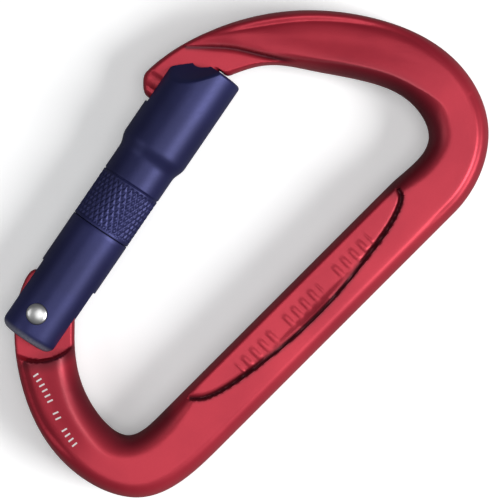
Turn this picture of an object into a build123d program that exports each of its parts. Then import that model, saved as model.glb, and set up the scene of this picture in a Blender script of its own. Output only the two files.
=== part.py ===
from build123d import *
import math
import os

# A twist-lock connector (carabiner) that lies on its side.
# +X runs along the spine towards the nose end, +Y towards the gate, +Z up out of the flat side.
# Sizes and places start from the spine's two ends and its outer edge;
# the finished pieces are moved together so that the origin is the exact centre of the object's box.
# All sizes are in millimetres and angles in degrees unless a name says otherwise.

# Spine and bends: outer and inner edges of the forged bar
spine_outer_y = -32.3
bar_width = 13.6
spine_half_length = 33.0
bar_half_thickness = 5.75
outer_edge_radius = 2.4
inner_edge_radius = 2.8
step_edge = 0.2
hollow_depth = 0.9
head_reach = 25.0
tail_reach = 25.9

# Hinge and nose, from the spine's ends and its outer edge
hinge_back = 7.5
hinge_rise = 46.3
nose_back = 24.47
nose_rise = 55.57
tang_half_thickness = 2.2
tang_clearance = 0.3
tang_end = 7.3
tang_outer_reach = 5.4
tang_inner_reach = 2.0
rivet_radius = 1.75
rivet_running_clearance = 0.05
rivet_head_lip = 0.45
rivet_head_seat = 5.8
rivet_head_height = 1.1
rivet_seat_clearance = 0.05

# Gate, measured along its own axis from the hinge
gate_axis_offset = 0.6
gate_radius = 6.6
gate_ear_overhang = 2.35
gate_ear_clearance = 0.5
gate_ear_end = -6.0
hinge_slot_end = 9.8
sleeve_to_nose = 28.4
spindle_radius = 4.5
spindle_past_nose = 10.6
fork_clearance = 0.8

# Nose plate that enters the gate fork
nose_half_thickness = 2.75
nose_clearance = 0.3
nose_inner_reach = 2.2
nose_edge_gap = 1.0
nose_neck_offset = 2.0
nose_neck_length = 2.9
nose_neck_depth = 0.9
key_rib_offset = 2.35
key_rib_length = 1.5
key_rib_clearance = 0.3

# Locking sleeve; its stations are measured back or on from the nose
sleeve_foot_gap = 0.3
sleeve_past_nose = 12.4
sleeve_wide_radius = 7.45
sleeve_wall = 1.1
sleeve_bore_clearance = 0.06
chamber_to_nose = 16.5
knurl_to_nose = 17.1
knurl_groove_width = 0.3
knurl_groove_depth = 0.2
flare_to_nose = 11.5
flare_length = 3.3
sleeve_rim_radius = 0.45
sleeve_twist_deg = 70.0
facet_past_nose = 25.53
facet_across = 1.216
facet_up = 2.32

# Small parts inside the gate and the sleeve
plunger_radius = 2.0
plunger_bore_clearance = 0.08
plunger_tip_gap = 0.06
plunger_length = 4.2
spring_room = 8.44
spring_end_gap = 0.05
closing_wire = 0.5
closing_turns = 6
sleeve_wire = 0.6
sleeve_turns = 8
washer_thickness = 0.4
washer_clearance = 0.2
ring_to_nose = 13.9
ring_width = 0.9
ring_half_height = 0.45
ring_side_clearance = 0.2
ring_gap_deg = 40.0
guide_to_nose = 4.9
guide_radius = 0.8
guide_root = 1.8
guide_reach = 1.2
guide_clearance = 0.25

# Values that follow from the sizes above
inner_edge_radius = min(inner_edge_radius, bar_half_thickness - nose_half_thickness - step_edge)
outer_edge_radius = min(outer_edge_radius, bar_half_thickness - nose_half_thickness - step_edge)
hinge = Vector(-spine_half_length - hinge_back, spine_outer_y + hinge_rise, 0)
nose = Vector(spine_half_length - nose_back, spine_outer_y + nose_rise, 0)
nose_foot = (nose - hinge).length
along = (nose - hinge).normalized()
inward = Vector(along.Y, -along.X, 0)
gate_plane = Plane(origin=hinge + inward * gate_axis_offset, x_dir=inward, z_dir=along)
gate_ear_radius = gate_radius + gate_ear_overhang
hinge_clear_radius = gate_ear_radius + gate_ear_clearance
gate_shoulder = nose_foot - sleeve_to_nose
spindle_end = nose_foot + spindle_past_nose
fork_foot = nose_foot - fork_clearance
fork_inner_reach = nose_inner_reach - gate_axis_offset + nose_edge_gap
sleeve_foot = gate_shoulder + sleeve_foot_gap
sleeve_end = nose_foot + sleeve_past_nose
sleeve_chamber_radius = gate_radius - sleeve_wall
sleeve_chamber_end = nose_foot - chamber_to_nose
plunger_tip = tang_end + plunger_tip_gap
plunger_back = plunger_tip + plunger_length
spring_bore_end = plunger_back + spring_room
washer_radius = sleeve_chamber_radius - washer_clearance
ring_place = nose_foot - ring_to_nose
ring_low = ring_place - ring_width / 2
ring_high = ring_place + ring_width / 2
ring_inner_radius = spindle_radius - ring_half_height
ring_outer_radius = spindle_radius + ring_half_height
guide_place = nose_foot - guide_to_nose
guide_tip = spindle_radius + guide_reach


def head_point(beyond, rise):
    """Point in the XY plane: beyond the spine's nose end, and up from the spine's outer edge."""
    return Vector(spine_half_length + beyond, spine_outer_y + rise, 0)


def tail_point(beyond, rise):
    """Point in the XY plane: beyond the spine's hinge end, and up from the spine's outer edge."""
    return Vector(-spine_half_length - beyond, spine_outer_y + rise, 0)


def at_gate(distance, across):
    """Point in the XY plane: a distance along the gate from the hinge, and a distance towards the spine."""
    return hinge + along * distance + inward * across


def disc(radius, start, end):
    """Cylinder about the local Z axis between two heights."""
    return Pos(0, 0, (start + end) / 2) * Cylinder(radius, end - start)


def block(x_span, y_span, z_span):
    """Box between three pairs of limits."""
    middle = [(low + high) / 2 for low, high in (x_span, y_span, z_span)]
    size = [high - low for low, high in (x_span, y_span, z_span)]
    return Pos(*middle) * Box(*size)


def head_outer_edge():
    """Outer edge of the nose end, from the nose tip round to the spine."""
    points = [nose + along * 4.2 - inward * 10.0, head_point(-9.8, 63.9), head_point(5.2, 56.1),
              head_point(18.5, 41.7), head_point(head_reach, 21.6), head_point(20.0, 7.6), head_point(2.5, 0)]
    return Spline(*points, tangents=[(1, 0), (-1, 0)])


def tail_outer_edge():
    """Outer edge of the hinge end, from the spine round to the tang."""
    points = [tail_point(0, 0), tail_point(19.3, 3.9), tail_point(tail_reach, 19.3), tail_point(19.7, 40.1),
              hinge + Vector(-0.6, 5.6), hinge + Vector(4.3, 7.5)]
    return Spline(*points, tangents=[(-1, 0), (1, 0.15)])


def tail_inner_edge():
    """Inner edge of the hinge end, from the tang round to the spine."""
    points = [hinge + Vector(4.8, -5.5), tail_point(9.2, 33.9), tail_point(13.5, 24.4),
              tail_point(12.3, bar_width + 1.5), tail_point(4.0, bar_width)]
    return Spline(*points, tangents=[(-1, -0.95), (1, 0)])


def head_inner_edge():
    """Inner edge of the nose end, from the spine round to the shoulder above the gate."""
    points = [head_point(-3.0, bar_width), head_point(9.7, bar_width + 1.2),
              head_point(12.2, bar_width + 7.6), head_point(8.6, 32.5), head_point(2.2, 42.1),
              head_point(-3.5, 49.4), head_point(-9.3, 52.8)]
    return Spline(*points, tangents=[(1, 0), (-1, 0.45)])


def bar_outline(outer_edges, inner_edges):
    """Closed outline of the forged bar, seen from above."""
    head_outer, tail_outer = outer_edges
    tail_inner, head_inner = inner_edges
    tang_outer = at_gate(tang_end, -tang_outer_reach)
    tang_inner = at_gate(tang_end, tang_inner_reach)
    nose_shoulder = at_gate(sleeve_end + 0.8, nose_inner_reach)
    nose_corner = at_gate(nose_foot, nose_inner_reach)
    nose_round = at_gate(nose_foot, -6.3)
    nose_side = at_gate(nose_foot + 1.2, -8.6)
    edges = [
        head_outer,
        Line(head_outer @ 1, tail_outer @ 0),
        tail_outer,
        TangentArc(tail_outer @ 1, tang_outer, tangent=tail_outer % 1),
        Line(tang_outer, tang_inner),
        Line(tang_inner, tail_inner @ 0),
        tail_inner,
        Line(tail_inner @ 1, head_inner @ 0),
        head_inner,
        Line(head_inner @ 1, nose_shoulder),
        Line(nose_shoulder, nose_corner),
        Line(nose_corner, nose_round),
        ThreePointArc(nose_round, at_gate(nose_foot + 0.25, -7.7), nose_side),
        Spline(nose_side, head_outer @ 0, tangents=[-inward + along * 0.6, (1, 0)]),
    ]
    return make_face(Wire(edges))


def rims_over(solid, curves):
    """Edges of the solid's top and bottom rims that lie straight above or below the given curves."""
    rims = []
    for edge in solid.edges():
        middle = edge @ 0.5
        at_rim = abs(abs(middle.Z) - bar_half_thickness) < 0.01
        if at_rim and any(curve.distance_to(Vertex(middle.X, middle.Y, 0)) < 0.02 for curve in curves):
            rims.append(edge)
    return rims


def both_sides(top):
    """A shape and its mirror image in the XY plane."""
    return [top, mirror(top, Plane.XY)]


def hinge_flats():
    """What is cut off both sides of the bar so that the tang fits between the gate's ears."""
    round_clear = Cylinder(hinge_clear_radius, bar_half_thickness)
    side = 2 * hinge_clear_radius
    rise = bar_half_thickness / 2
    heel_clear = block((-1.5, side), (-1.3 * gate_ear_radius, side), (-rise, rise))
    turned = Rot(0, 0, math.degrees(math.atan2(along.Y, along.X))) * heel_clear
    lifted = Pos(hinge.X, hinge.Y, tang_half_thickness + rise) * (round_clear + turned)
    return both_sides(lifted)


def nose_flats():
    """What is cut off both sides of the bar so that the nose plate fits the sleeve's slot."""
    ridge_outer = head_point(-16.65, 71.3)
    ridge_inner = head_point(4.81, 42.79)
    corners = [ridge_outer, ridge_inner, at_gate(nose_foot - 4, 18), at_gate(nose_foot - 4, -14)]
    outline = make_face(Polyline(*corners, close=True))
    top = Pos(0, 0, nose_half_thickness) * extrude(outline, bar_half_thickness)
    return both_sides(top)


def nose_neck():
    """Groove across both faces of the nose plate that the key ribs of the gate drop into."""
    start = nose_foot + nose_neck_offset
    end = start + nose_neck_length
    corners = [at_gate(start, nose_inner_reach + 1), at_gate(end, nose_inner_reach + 1),
               at_gate(end, -11.5), at_gate(start, -11.5)]
    outline = make_face(Polyline(*corners, close=True))
    top = Pos(0, 0, nose_half_thickness - nose_neck_depth) * extrude(outline, 2)
    return both_sides(top)


def leaf(start, outer_middle, end, inner_middle):
    """Leaf-shaped hollow between two arcs, sunk into both flat sides of the bar."""
    outline = make_face(Wire([ThreePointArc(start, outer_middle, end), ThreePointArc(end, inner_middle, start)]))
    return both_sides(Pos(0, 0, bar_half_thickness - hollow_depth) * extrude(outline, hollow_depth + 1))


def head_hollow():
    """Web hollow along the bar above the gate."""
    return leaf(head_point(-7.0, 60.3), head_point(10.7, 47.3), head_point(18.7, 24.3), head_point(7.2, 44.7))


def spine_hollow():
    """Long hollow beside the spine's outer rim."""
    rim = 0.34 * bar_width
    return leaf(tail_point(8.0, rim + 1.7), Vector(0, spine_outer_y + rim), head_point(8.0, rim + 1.7),
                Vector(0, spine_outer_y + rim + 2.2))


def tail_hollow():
    """Web hollow round the bend below the hinge."""
    return leaf(tail_point(17.8, 36.3), tail_point(tail_reach - 3.9, 23.3), tail_point(17.8, 9.8),
                tail_point(18.2, 23.3))


def body():
    """Forged bar with its hinge tang, nose plate, rivet bore and lightening hollows."""
    outer_edges = head_outer_edge(), tail_outer_edge()
    inner_edges = tail_inner_edge(), head_inner_edge()
    outer_straight = Line(outer_edges[0] @ 1, outer_edges[1] @ 0)
    inner_straight = Line(inner_edges[0] @ 1, inner_edges[1] @ 0)
    bar = extrude(bar_outline(outer_edges, inner_edges), bar_half_thickness, both=True)
    for cut in [*hinge_flats(), *nose_flats()]:
        bar -= cut
    bar = fillet(rims_over(bar, [*inner_edges, inner_straight]), inner_edge_radius)
    bar = fillet(rims_over(bar, [*outer_edges, outer_straight]), outer_edge_radius)
    for cut in [*nose_neck(), *head_hollow(), *spine_hollow(), *tail_hollow()]:
        bar -= cut
    bore = Cylinder(rivet_radius + rivet_running_clearance, 4 * tang_half_thickness)
    return bar - Pos(hinge.X, hinge.Y, 0) * bore


def fork_space():
    """Slot in the spindle for the nose plate, with its key ribs left standing; local to the gate."""
    half = nose_half_thickness + nose_clearance
    rib_span = (nose_foot + key_rib_offset, nose_foot + key_rib_offset + key_rib_length)
    slot = block((-spindle_radius - 4, fork_inner_reach), (-half, half), (fork_foot, spindle_end + 4))
    rib_face = nose_half_thickness - nose_neck_depth + key_rib_clearance
    for side in (-1, 1):
        y_span = sorted((side * rib_face, side * (half + 1)))
        slot -= block((-spindle_radius - 4, fork_inner_reach), y_span, rib_span)
    return slot


def gate():
    """Gate: ears and slot at the hinge, a round base, and a thinner forked spindle under the sleeve."""
    base = disc(gate_radius, gate_ear_end, gate_shoulder)
    base = chamfer(base.edges().sort_by(Axis.Z)[-1], 0.3)
    ear_end = Rot(90, 0, 0) * Cylinder(gate_ear_radius, 4 * gate_radius)
    swing = Pos(-gate_axis_offset, 0, 0) * (ear_end + block((-20, 20), (-20, 20), (0, gate_shoulder + 1)))
    solid = (base & swing) + disc(spindle_radius, gate_shoulder - 1, spindle_end)
    slot_half = tang_half_thickness + tang_clearance
    solid -= block((-20, 20), (-slot_half, slot_half), (gate_ear_end - 1, hinge_slot_end))
    solid -= Pos(-gate_axis_offset, 0, 0) * (Rot(90, 0, 0) * Cylinder(rivet_radius, 4 * gate_radius))
    for side in (-1, 1):
        seat = Rot(90, 0, 0) * Cylinder(rivet_radius + rivet_head_lip + rivet_seat_clearance, gate_radius)
        solid -= Pos(-gate_axis_offset, side * (rivet_head_seat + gate_radius / 2), 0) * seat
    solid -= disc(plunger_radius + plunger_bore_clearance, hinge_slot_end - 1, spring_bore_end)
    solid -= disc(spindle_radius + 1, ring_low, ring_high) - disc(ring_inner_radius, 0, sleeve_end)
    solid -= fork_space()
    solid -= guide_hole()
    return gate_plane.location * solid


def guide_hole():
    """Blind radial hole in the spindle, which the guide pin fills; local to the gate."""
    length = guide_tip - guide_root
    return Pos(guide_root + length / 2, 0, guide_place) * (Rot(0, 90, 0) * Cylinder(guide_radius, length))


def hinge_rivet():
    """Rivet through the ears and the tang, with a domed head on each side."""
    shank = Cylinder(rivet_radius, 2 * rivet_head_seat)
    middle_height = rivet_head_seat + rivet_head_height / 2
    head = Pos(0, 0, middle_height) * Cylinder(rivet_radius + rivet_head_lip, rivet_head_height)
    head = fillet(head.edges().sort_by(Axis.Z)[-1], 0.64 * rivet_head_height)
    return Pos(hinge.X, hinge.Y, 0) * (shank + head + mirror(head, Plane.XY))


def plunger():
    """Round-nosed pusher that bears on the end of the tang and closes the gate."""
    dome = Pos(0, 0, plunger_tip + plunger_radius) * Sphere(plunger_radius)
    barrel = disc(plunger_radius, plunger_tip + plunger_radius, plunger_back)
    return gate_plane.location * (dome + barrel)


def coil(radius, wire, turns, start, end):
    """Wire spring about the gate's axis between two heights."""
    height = end - start - wire
    path = Pos(0, 0, start + wire / 2) * Helix(pitch=height / turns, height=height, radius=radius)
    section = Plane(origin=path @ 0, z_dir=path % 0) * Circle(wire / 2)
    return gate_plane.location * sweep(section, path=path, is_frenet=True)


def closing_spring():
    """Compression spring behind the plunger."""
    return coil(plunger_radius - closing_wire / 2 - 0.1, closing_wire, closing_turns,
                plunger_back + spring_end_gap, spring_bore_end - spring_end_gap)


def sleeve_spring():
    """Torsion spring that turns the sleeve home, in the chamber under the knurl."""
    radius = (spindle_radius + sleeve_chamber_radius) / 2
    start = gate_shoulder + washer_thickness + 2 * spring_end_gap
    return coil(radius, sleeve_wire, sleeve_turns, start, sleeve_chamber_end - 3 * spring_end_gap)


def thrust_washer():
    """Thin washer on the gate's shoulder, under the sleeve's spring."""
    ring = disc(washer_radius, gate_shoulder, gate_shoulder + washer_thickness)
    ring -= disc(spindle_radius, gate_shoulder - 1, gate_shoulder + 2)
    return gate_plane.location * ring


def snap_ring():
    """Open wire ring in the spindle's groove that keeps the sleeve on."""
    ring = disc(ring_outer_radius, ring_low, ring_high) - disc(ring_inner_radius, ring_low - 1, ring_high + 1)
    half_gap = ring_gap_deg / 2
    ring -= wedge(180 - half_gap, 180 + half_gap, 2 * ring_outer_radius, ring_low - 1, ring_high + 1)
    return gate_plane.location * ring


def wedge(start_deg, end_deg, radius, start, end):
    """Sector of a circle between two angles and two heights, about the gate's axis."""
    arc = CenterArc((0, 0), radius, start_deg, end_deg - start_deg)
    outline = make_face(Wire([Line((0, 0), arc @ 0), arc, Line(arc @ 1, (0, 0))]))
    return Pos(0, 0, start) * extrude(outline, end - start)


def guide_pin():
    """Pin set in the spindle whose tip runs in the sleeve's guide groove and stops the twist."""
    return gate_plane.location * guide_hole()


def nose_window():
    """Opening in the sleeve that lets the nose out at rest and stays clear of it as the sleeve twists."""
    half = nose_half_thickness + nose_clearance
    at_rest = block((-2 * sleeve_wide_radius, 0), (-half, half), (fork_foot, sleeve_end + 1))
    turned = Rot(0, 0, -sleeve_twist_deg) * at_rest
    return at_rest + turned + wedge(180 - sleeve_twist_deg, 180, 2 * sleeve_wide_radius, fork_foot, sleeve_end + 1)


def facet_cut():
    """Wedge above the sloping facet on the sleeve's front outer corner; local to the gate."""
    rise = 20
    normal = Vector(-facet_across, -facet_up, 1).normalized()
    start = Vector(0, 0, nose_foot + facet_past_nose)
    return Plane(origin=start + normal * rise / 2, z_dir=normal).location * Box(60, 60, rise)


def lock_sleeve():
    """Turning sleeve: knurled foot, flared barrel, nose window, facet and inner grooves."""
    flare_start = nose_foot - flare_to_nose
    profile = Polyline((0, sleeve_foot), (gate_radius, sleeve_foot), (gate_radius, flare_start),
                       (sleeve_wide_radius, flare_start + flare_length), (sleeve_wide_radius, sleeve_end),
                       (0, sleeve_end), close=True)
    solid = revolve(Plane.XZ * make_face(profile), Axis.Z)
    rim = solid.edges().filter_by(GeomType.CIRCLE).sort_by(Axis.Z)[-1]
    solid = fillet(rim, sleeve_rim_radius)
    knurl_end = nose_foot - knurl_to_nose
    groove = disc(gate_radius + 1, knurl_end, knurl_end + knurl_groove_width)
    solid -= groove - disc(gate_radius - knurl_groove_depth, 0, sleeve_end)
    solid -= disc(spindle_radius + sleeve_bore_clearance, sleeve_foot - 1, sleeve_end + 1)
    solid -= disc(sleeve_chamber_radius, sleeve_foot - 1, sleeve_chamber_end)
    ring_room = ring_outer_radius + ring_side_clearance
    solid -= disc(ring_room, ring_low - ring_side_clearance, ring_high + ring_side_clearance)
    reach = math.degrees((guide_radius + guide_clearance) / spindle_radius)
    guide_room = guide_radius + guide_clearance
    solid -= wedge(-sleeve_twist_deg - reach, reach, guide_tip + guide_clearance,
                   guide_place - guide_room, guide_place + guide_room)
    solid -= nose_window()
    solid -= facet_cut()
    solid -= mirror(facet_cut(), Plane.XZ)
    return gate_plane.location * solid


pieces = [body, gate, hinge_rivet, plunger, closing_spring, lock_sleeve, sleeve_spring, thrust_washer, snap_ring,
          guide_pin]

os.makedirs("parts", exist_ok=True)
middle = body().bounding_box().center()
for make in pieces:
    export_step(Pos(-middle.X, -middle.Y, 0) * make(), f"parts/{make.__name__}.step")
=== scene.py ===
"""Looks of a locking carabiner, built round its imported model.

The forged bar, the gate, the locking sleeve and the rivet are worked out here as numpy surfaces, and the
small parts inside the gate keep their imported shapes. Lengths in the classes are in millimetres.
"""
import logging
import math
from dataclasses import dataclass, field
from enum import Enum

import bmesh
import bpy
import numpy as np
from mathutils import Matrix, Vector


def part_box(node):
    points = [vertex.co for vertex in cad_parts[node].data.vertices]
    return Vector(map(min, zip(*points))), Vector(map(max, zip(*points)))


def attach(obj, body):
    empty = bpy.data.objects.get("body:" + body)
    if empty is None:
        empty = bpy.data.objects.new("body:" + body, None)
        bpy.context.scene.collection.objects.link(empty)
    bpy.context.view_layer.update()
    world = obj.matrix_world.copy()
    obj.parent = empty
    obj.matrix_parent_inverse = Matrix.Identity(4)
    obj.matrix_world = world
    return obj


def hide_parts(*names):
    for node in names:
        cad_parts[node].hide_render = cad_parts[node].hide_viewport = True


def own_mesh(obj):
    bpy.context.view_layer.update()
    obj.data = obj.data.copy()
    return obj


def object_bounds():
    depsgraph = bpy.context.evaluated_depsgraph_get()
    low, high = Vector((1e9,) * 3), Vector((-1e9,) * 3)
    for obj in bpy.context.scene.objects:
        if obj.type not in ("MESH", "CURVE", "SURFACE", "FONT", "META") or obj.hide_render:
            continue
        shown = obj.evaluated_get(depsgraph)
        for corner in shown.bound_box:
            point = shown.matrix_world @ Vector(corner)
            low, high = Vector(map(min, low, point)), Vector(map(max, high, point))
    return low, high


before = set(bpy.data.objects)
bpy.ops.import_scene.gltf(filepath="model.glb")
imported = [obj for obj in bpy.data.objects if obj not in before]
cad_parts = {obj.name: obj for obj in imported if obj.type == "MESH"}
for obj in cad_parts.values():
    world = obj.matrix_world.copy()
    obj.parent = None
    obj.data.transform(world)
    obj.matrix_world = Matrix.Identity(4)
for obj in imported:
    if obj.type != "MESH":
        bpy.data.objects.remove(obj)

log = logging.getLogger("carabiner")
MM = 0.001
CAD_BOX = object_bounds()


# ---------------------------------------------------------------- shapes shared by the pieces


def round_over(distance: np.ndarray, reach: float) -> np.ndarray:
    """Quarter-ellipse rise from 0 at an edge to 1 at a reach inside it.

    Args:
        distance: Distance inside the edge.
        reach: How far inside the edge the rounding ends.

    Returns:
        Share of the full height, the square root of 1 - (1 - distance / reach) squared.
    """
    share = 1.0 - np.clip(distance / reach, 0.0, 1.0)
    return np.sqrt(np.clip(1.0 - share**2, 0.0, 1.0))


def ease(value: np.ndarray, low: float, high: float) -> np.ndarray:
    """Smooth step from 0 at low to 1 at high, 3 t squared - 2 t cubed.

    Args:
        value: What the step depends on.
        low: Where the step starts.
        high: Where it ends; t is the share of the way from low to high.

    Returns:
        The step at each value.
    """
    t = np.clip((value - low) / (high - low), 0.0, 1.0)
    return t * t * (3.0 - 2.0 * t)


def soft_min(a: np.ndarray, b: np.ndarray, blend: float) -> np.ndarray:
    """Lower of two heights with the crease between them rounded over a blend height.

    Args:
        a: First height.
        b: Second height.
        blend: Height over which the two run together.

    Returns:
        min(a, b) less blend / 4 times the square of 1 - |a - b| / blend where the two are close.
    """
    near = np.clip(1.0 - np.abs(a - b) / blend, 0.0, 1.0)
    return np.minimum(a, b) - near * near * blend / 4.0


def smooth_curve(points: list[tuple[float, float]], start: tuple[float, float], end: tuple[float, float],
                 step: float = 0.1) -> np.ndarray:
    """Cubic spline through points with given directions at its ends.

    The slopes at the points solve the usual condition that bending is continuous, with chord lengths as
    the parameter; between two points the curve is the cubic with those places and slopes.

    Args:
        points: The points it passes through.
        start: Direction at the first point.
        end: Direction at the last point.
        step: About the distance between samples.

    Returns:
        Samples as an (n, 2) array.
    """
    p = np.array(points, float)
    h = np.linalg.norm(np.diff(p, axis=0), axis=1)
    n = len(p)
    lhs = np.eye(n)
    rhs = np.zeros((n, 2))
    rhs[0] = np.array(start) / np.linalg.norm(start)
    rhs[-1] = np.array(end) / np.linalg.norm(end)
    inner = np.arange(1, n - 1)
    lhs[inner, inner - 1] = 1.0 / h[:-1]
    lhs[inner, inner] = 2.0 / h[:-1] + 2.0 / h[1:]
    lhs[inner, inner + 1] = 1.0 / h[1:]
    chord = np.diff(p, axis=0) / h[:, None] ** 2
    rhs[inner] = 3.0 * (chord[:-1] + chord[1:])
    slope = np.linalg.solve(lhs, rhs)
    knots = np.concatenate([[0.0], np.cumsum(h)])
    at = np.linspace(0.0, knots[-1], max(8, int(knots[-1] / step)))
    seg = np.clip(np.searchsorted(knots, at, side="right") - 1, 0, n - 2)
    t = ((at - knots[seg]) / h[seg])[:, None]
    hs = h[seg][:, None]
    return (p[seg] * (2 * t**3 - 3 * t**2 + 1) + slope[seg] * hs * (t**3 - 2 * t**2 + t)
            + p[seg + 1] * (3 * t**2 - 2 * t**3) + slope[seg + 1] * hs * (t**3 - t**2))


def beside(x: np.ndarray, y: np.ndarray, curve: np.ndarray) -> tuple[np.ndarray, np.ndarray]:
    """Where places lie against a sampled open curve.

    The nearest sample is found for every place; the distance is its offset measured square to the curve.

    Args:
        x: Places' x.
        y: Places' y.
        curve: (n, 2) samples.

    Returns:
        Distance to the curve, positive on its left, and the nearest sample's share of the curve's length.
    """
    spots = np.stack([x.ravel(), y.ravel()], axis=1)
    nearest = np.concatenate([np.argmin(((part[:, None] - curve[None]) ** 2).sum(axis=2), axis=1)
                              for part in np.array_split(spots, 16)])
    way = np.gradient(curve, axis=0)
    way /= np.linalg.norm(way, axis=1)[:, None]
    gap = spots - curve[nearest]
    left = way[nearest, 0] * gap[:, 1] - way[nearest, 1] * gap[:, 0]
    far = np.linalg.norm(gap, axis=1) * np.where(left < 0, -1.0, 1.0)
    return far.reshape(x.shape), (nearest / (len(curve) - 1)).reshape(x.shape)


def draw_towards(share: np.ndarray, target: np.ndarray, pull: np.ndarray, width: float) -> np.ndarray:
    """Crowds grid lines round a target share, so that a crease lies along the lines and not across them.

    Args:
        share: Shares of the way across, from 0 to 1.
        target: Share that the lines are drawn to, one for each row.
        pull: How strongly, below 1, one for each row.
        width: How far the pull reaches.

    Returns:
        The shares, each moved towards the target by pull times exp(-(gap / width) squared) of its gap.
    """
    gap = share - target[:, None]
    return share - gap * pull[:, None] * np.exp(-((gap / width) ** 2)) * np.sin(np.pi * share) ** 0.2


def arc_lengths(line: np.ndarray) -> np.ndarray:
    """Distance along a sampled line to each of its samples."""
    return np.concatenate([[0.0], np.cumsum(np.linalg.norm(np.diff(line, axis=0), axis=1))])


def grid_faces(rows: int, columns: int, wrap_rows: bool, wrap_columns: bool) -> np.ndarray:
    """Quads of a rows by columns grid of points, in order.

    Args:
        rows: Number of rows.
        columns: Number of points in a row.
        wrap_rows: Whether the last row joins the first.
        wrap_columns: Whether the last column joins the first.

    Returns:
        (m, 4) array of point numbers.
    """
    i = np.arange(rows if wrap_rows else rows - 1)
    j = np.arange(columns if wrap_columns else columns - 1)
    ii, jj = np.meshgrid(i, j, indexing="ij")
    i2, j2 = (ii + 1) % rows, (jj + 1) % columns
    quads = np.stack([ii * columns + jj, i2 * columns + jj, i2 * columns + j2, ii * columns + j2], axis=-1)
    return quads.reshape(-1, 4)


def make_piece(name: str, points: np.ndarray, faces: np.ndarray, merge: float = 1e-7) -> bpy.types.Object:
    """Mesh object from points in metres; doubles are merged and faces turned outwards.

    Args:
        name: Name of the piece.
        points: (n, 3) array of points.
        faces: (m, 4) or (m, 3) array of point numbers.
        merge: Points closer than this become one.

    Returns:
        The new object, at the origin.
    """
    mesh = bpy.data.meshes.new(name)
    mesh.from_pydata(points.astype(float).tolist(), [], faces.tolist())
    work = bmesh.new()
    work.from_mesh(mesh)
    bmesh.ops.remove_doubles(work, verts=work.verts, dist=merge)
    bmesh.ops.dissolve_degenerate(work, edges=work.edges, dist=merge)
    bmesh.ops.recalc_face_normals(work, faces=work.faces)
    work.to_mesh(mesh)
    work.free()
    piece = bpy.data.objects.new(name, mesh)
    bpy.context.scene.collection.objects.link(piece)
    return piece


def places_of(piece: bpy.types.Object) -> np.ndarray:
    """Reads where the points of a piece's mesh are.

    Args:
        piece: The piece.

    Returns:
        The points in metres, as an (n, 3) array.
    """
    points = np.empty(len(piece.data.vertices) * 3)
    piece.data.vertices.foreach_get("co", points)
    return points.reshape(-1, 3)


def mark(piece: bpy.types.Object, name: str, amount: np.ndarray) -> None:
    """Writes an amount from 0 to 1 for each point, which the finish reads by name.

    Args:
        piece: The piece to mark.
        name: Name of the amount, which is wear_and_painted_light or painted_shade.
        amount: The amount at each point.
    """
    made = piece.data.attributes.new(name, "FLOAT", "POINT")
    made.data.foreach_set("value", np.clip(amount, 0.0, 1.0).astype(np.float32))


def smooth_shade(piece: bpy.types.Object, sharp_deg: float = 32.0) -> None:
    """Shades a mesh smooth, with edges sharper than an angle kept crisp."""
    piece.data.polygons.foreach_set("use_smooth", np.ones(len(piece.data.polygons), bool))
    piece.data.set_sharp_from_angle(angle=math.radians(sharp_deg))


def lathe(name: str, profile: np.ndarray, turns: int, axes: "GateAxes", closed: bool) -> bpy.types.Object:
    """Surface swept by a profile of (radius, distance along the axis) once round an axis.

    Args:
        name: Name of the piece.
        profile: (n, 2) array.
        turns: Number of steps round the axis.
        axes: The axis and its cross directions.
        closed: Whether the profile is a closed loop; else its two ends lie on the axis.

    Returns:
        The new object.
    """
    angle = np.linspace(0.0, 2.0 * np.pi, turns, endpoint=False)
    radius = profile[:, :1] * np.ones_like(angle)
    height = profile[:, 1:] * np.ones_like(angle)
    points = axes.place(radius * np.cos(angle), radius * np.sin(angle), height)
    return make_piece(name, points.reshape(-1, 3), grid_faces(len(profile), turns, closed, True))


def prism(name: str, outline: np.ndarray, low: float, high: float, axes: "GateAxes") -> bpy.types.Object:
    """Straight prism of an outline across an axis, used only to cut another piece.

    Args:
        name: Name of the prism.
        outline: (n, 2) array of places across the axis.
        low: Where the prism starts along the axis.
        high: Where it ends.
        axes: The axis and its cross directions.

    Returns:
        The prism as an object.
    """
    count = len(outline)
    rings = [axes.place(outline[:, 0], outline[:, 1], np.full(count, level)) for level in (low, high)]
    sides = grid_faces(2, count, False, True).tolist()
    mesh = bpy.data.meshes.new(name)
    faces = sides + [list(range(count)), list(range(count, 2 * count))]
    mesh.from_pydata(np.concatenate(rings).tolist(), [], faces)
    work = bmesh.new()
    work.from_mesh(mesh)
    bmesh.ops.recalc_face_normals(work, faces=work.faces)
    work.to_mesh(mesh)
    work.free()
    cutter = bpy.data.objects.new(name, mesh)
    bpy.context.scene.collection.objects.link(cutter)
    return cutter


def carve(piece: bpy.types.Object, cutter: bpy.types.Object) -> None:
    """Takes a cutter's volume out of a piece and deletes the cutter.

    Args:
        piece: The piece that is cut.
        cutter: The solid that is taken away.
    """
    cut = piece.modifiers.new("cut", "BOOLEAN")
    cut.operation = "DIFFERENCE"
    cut.solver = "EXACT"
    cut.object = cutter
    bpy.context.view_layer.update()
    done = bpy.data.meshes.new_from_object(piece.evaluated_get(bpy.context.evaluated_depsgraph_get()))
    piece.modifiers.remove(cut)
    old = piece.data
    piece.data = done
    done.name = piece.name
    bpy.data.meshes.remove(old)
    bpy.data.meshes.remove(cutter.data)


@dataclass
class GateAxes:
    """An axis with its cross directions, which turns local places into points in metres."""

    origin: np.ndarray
    across: np.ndarray
    side: np.ndarray
    along: np.ndarray

    def place(self, x: np.ndarray, y: np.ndarray, s: np.ndarray) -> np.ndarray:
        """Points at x along `across`, y along `side` and s along `along`, all in millimetres."""
        x, y, s = (np.asarray(v, float)[..., None] for v in (x, y, s))
        return (self.origin + x * self.across + y * self.side + s * self.along) * MM


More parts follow.
